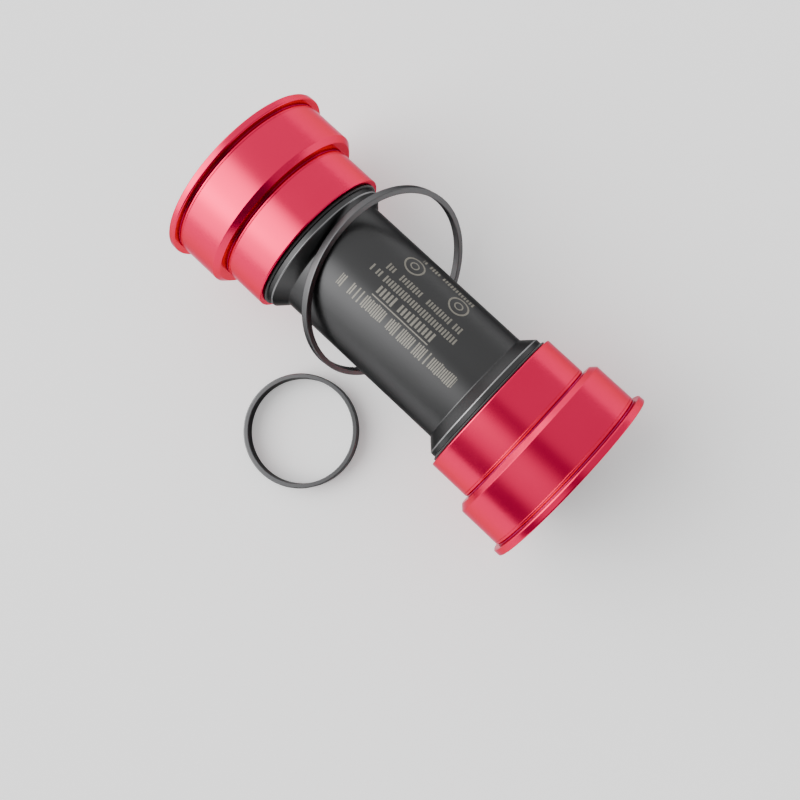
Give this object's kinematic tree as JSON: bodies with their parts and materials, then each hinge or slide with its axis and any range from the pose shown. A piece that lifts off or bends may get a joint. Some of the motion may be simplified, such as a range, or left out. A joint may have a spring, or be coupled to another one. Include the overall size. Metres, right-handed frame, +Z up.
{
  "type": "bottom bracket",
  "caption": "Press-fit bicycle bottom bracket with two red flanged bearing cups screwed onto a black centre sleeve, a loose width spacer ring and a loose spindle spacer.",
  "frame": {"origin": "middle of the spindle bore, halfway between the two cups", "axes": "+X along the spindle bore to the right cup; +Z up from the surface the bracket lies on, which touches both flanges; +Y level, away from the loose spindle spacer"},
  "size_m": [0.0964, 0.0721, 0.0436],
  "materials": {
    "cup_red": "satin red anodised, fine turning marks",
    "sleeve_black": "satin black anodised",
    "cover_black": "satin black anodised",
    "spacer_black": "satin black anodised",
    "rubber_black": "matt",
    "seal_rubber": "matt",
    "race_steel": "ground and polished",
    "ball_ceramic": "polished",
    "cage_nylon": "moulded nylon"
  },
  "bodies": {
    "sleeve": {"center_sleeve": "sleeve_black"},
    "left_thread": {"left_sleeve_o_ring": "rubber_black"},
    "left_cup": {"left_cup": "cup_red", "left_outer_race": "race_steel", "left_outboard_seal": "seal_rubber", "left_inboard_seal": "seal_rubber"},
    "left_balls": {"left_bearing_balls": "ball_ceramic", "left_ball_cage": "cage_nylon"},
    "left_spindle_seat": {"left_inner_race": "race_steel", "left_dust_cover": "cover_black", "left_cover_lip_seal": "rubber_black"},
    "right_thread": {"right_sleeve_o_ring": "rubber_black"},
    "right_cup": {"right_cup": "cup_red", "right_outer_race": "race_steel", "right_outboard_seal": "seal_rubber", "right_inboard_seal": "seal_rubber"},
    "right_balls": {"right_bearing_balls": "ball_ceramic", "right_ball_cage": "cage_nylon"},
    "right_spindle_seat": {"right_inner_race": "race_steel", "right_dust_cover": "cover_black", "right_cover_lip_seal": "rubber_black"},
    "width_spacer": {"width_spacer_ring": "spacer_black"},
    "spindle_spacer": {"spindle_spacer": "spacer_black"}
  },
  "joints": [
    {"name": "left_cup_travel", "type": "slide", "parent": "sleeve", "child": "left_thread", "axis": [-1, 0, 0], "range_m": [0, 0.00801]},
    {"name": "left_cup_unscrew", "type": "hinge", "parent": "left_thread", "child": "left_cup", "pos_m": [0, 0, 0], "axis": [-1, 0, 0], "range_deg": [0, 2880]},
    {"name": "left_spindle_seat_spin", "type": "hinge", "parent": "left_cup", "child": "left_spindle_seat", "pos_m": [0, 0, 0], "axis": [1, 0, 0], "continuous": true},
    {"name": "left_balls_roll", "type": "hinge", "parent": "left_cup", "child": "left_balls", "pos_m": [0, 0, 0], "axis": [1, 0, 0], "continuous": true},
    {"name": "right_cup_travel", "type": "slide", "parent": "sleeve", "child": "right_thread", "axis": [1, 0, 0], "range_m": [0, 0.00801]},
    {"name": "right_cup_unscrew", "type": "hinge", "parent": "right_thread", "child": "right_cup", "pos_m": [0, 0, 0], "axis": [1, 0, 0], "range_deg": [0, 2880]},
    {"name": "right_spindle_seat_spin", "type": "hinge", "parent": "right_cup", "child": "right_spindle_seat", "pos_m": [0, 0, 0], "axis": [1, 0, 0], "continuous": true},
    {"name": "right_balls_roll", "type": "hinge", "parent": "right_cup", "child": "right_balls", "pos_m": [0, 0, 0], "axis": [1, 0, 0], "continuous": true},
    {"name": "width_spacer_slide", "type": "slide", "parent": "sleeve", "child": "width_spacer", "axis": [1, 0, 0], "range_m": [0, 0.02]},
    {"name": "spindle_spacer_lift", "type": "slide", "parent": "sleeve", "child": "spindle_spacer", "axis": [0, 0, 1], "range_m": [0, 0.06]}
  ],
  "couplings": [
    {"joint": "left_cup_travel", "follows": "left_cup_unscrew", "m_per_rad": 0.00015915},
    {"joint": "left_balls_roll", "follows": "left_spindle_seat_spin", "ratio": 0.43598},
    {"joint": "right_cup_travel", "follows": "right_cup_unscrew", "m_per_rad": 0.00015915},
    {"joint": "right_balls_roll", "follows": "right_spindle_seat_spin", "ratio": 0.43598}
  ]
}
